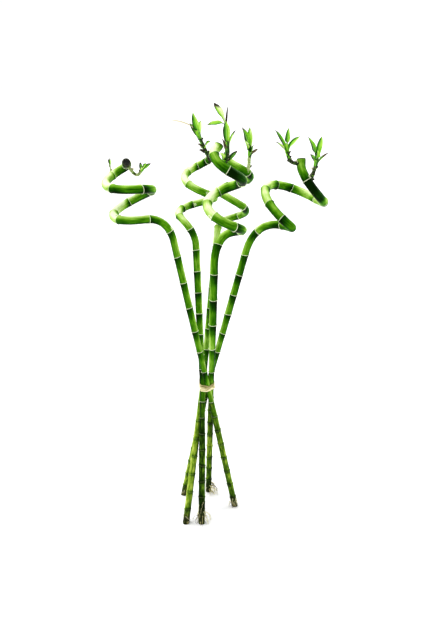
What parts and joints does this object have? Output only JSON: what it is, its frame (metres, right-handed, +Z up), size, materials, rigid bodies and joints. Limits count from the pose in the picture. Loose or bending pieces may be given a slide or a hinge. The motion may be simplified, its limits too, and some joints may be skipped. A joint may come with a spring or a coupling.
{
  "type": "lucky bamboo",
  "caption": "Tied bundle of curled lucky bamboo canes with leafy tip shoots and bare roots, standing on its own splayed cut ends.",
  "frame": {"origin": "on the surface it stands on, below the middle of the bounding box", "axes": "+Z up along the bundle, +Y away from the viewer of its front, +X to the viewer's right"},
  "size_m": [0.3022, 0.1993, 0.6231],
  "materials": {
    "cane": "glossy smooth green bark with pale node rings",
    "leaf": "satin",
    "shoot_stem": "satin, ringed with pale scars",
    "root": "matte",
    "raffia": "dry matte fibre"
  },
  "bodies": {
    "root": {"cane_left": "cane", "cane_back_left": "cane", "cane_front": "cane", "cane_back_right": "cane", "cane_right": "cane", "shoot_left_tip": "leaf", "shoot_left_side": "leaf", "shoot_back_left": "leaf", "shoot_front": "leaf", "shoot_back_right": "leaf", "shoot_right_inner": "leaf", "shoot_right_outer": "leaf", "raffia_tie": "raffia"}
  },
  "joints": []
}
